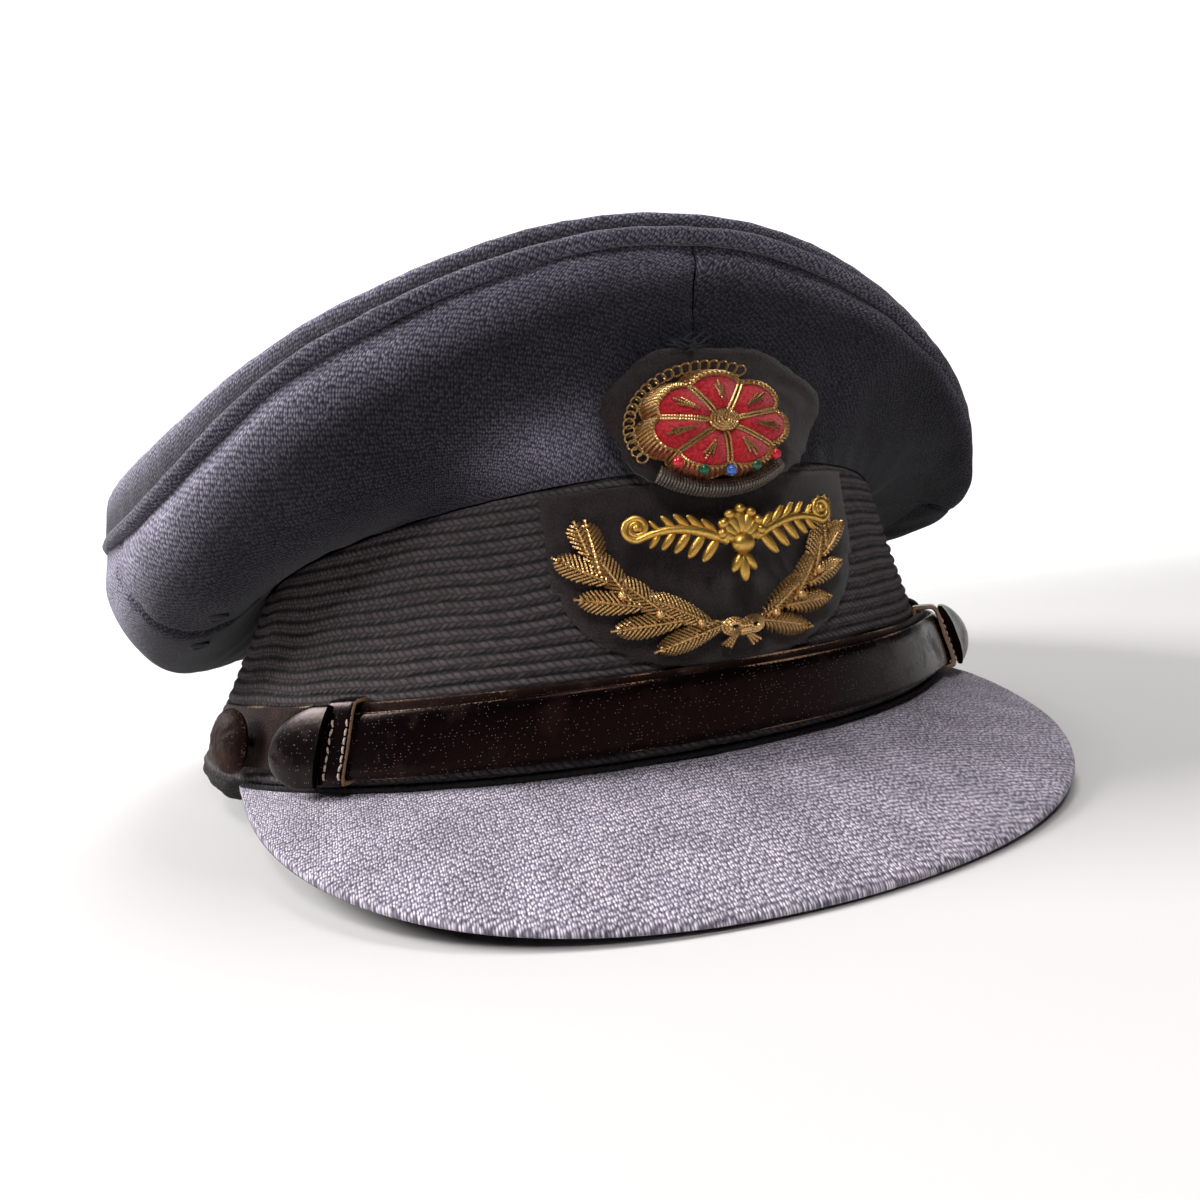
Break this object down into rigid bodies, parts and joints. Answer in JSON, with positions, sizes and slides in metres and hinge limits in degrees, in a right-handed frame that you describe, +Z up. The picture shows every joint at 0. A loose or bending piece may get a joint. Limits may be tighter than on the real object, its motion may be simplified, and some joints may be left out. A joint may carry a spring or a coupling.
{
  "type": "peaked cap",
  "caption": "Blue-grey wool service cap: piped soft crown, black ribbed band, cloth peak, doubled leather chin strap with slides and buttons, embroidered rosette, gilt palmette and laurel.",
  "frame": {"origin": "middle of the cap's box on the surface it stands on", "axes": "+Z up, -Y towards the front of the peak, -X towards the wearer's right"},
  "size_m": [0.211, 0.2494, 0.1024],
  "materials": {
    "wool_cloth": "blue-grey heather worsted",
    "black_braid": "black ribbed mohair braid",
    "black_felt": "brown-black wool felt",
    "patent_leather": "glossy, dusty, with worn edges",
    "dull_leather": "dull dark brown",
    "red_velvet": "padded velvet",
    "gilt_metal": "gilt, cast and chased",
    "gold_bullion": "gold bullion wire embroidery",
    "silver_purl": "tarnished silver purl wire"
  },
  "bodies": {
    "root": {"crown_top": "wool_cloth", "crown_piping": "wool_cloth", "quarter_front_right": "wool_cloth", "quarter_front_left": "wool_cloth", "quarter_rear_right": "wool_cloth", "quarter_rear_left": "wool_cloth", "ribbed_band": "black_braid", "peak": "wool_cloth", "chin_strap_outer": "patent_leather", "chin_strap_inner": "dull_leather", "strap_slide_right": "patent_leather", "strap_slide_left": "patent_leather", "slide_tab_right": "patent_leather", "slide_tab_left": "patent_leather", "button_right": "dull_leather", "button_left": "dull_leather", "badge_felt_lower": "black_felt", "badge_felt_upper": "black_felt", "rosette_pad": "red_velvet", "rosette_foot": "silver_purl", "gilt_ornament": "gilt_metal", "wreath_spray_right": "gold_bullion", "wreath_spray_left": "gold_bullion", "wreath_tie": "gold_bullion"}
  },
  "joints": []
}
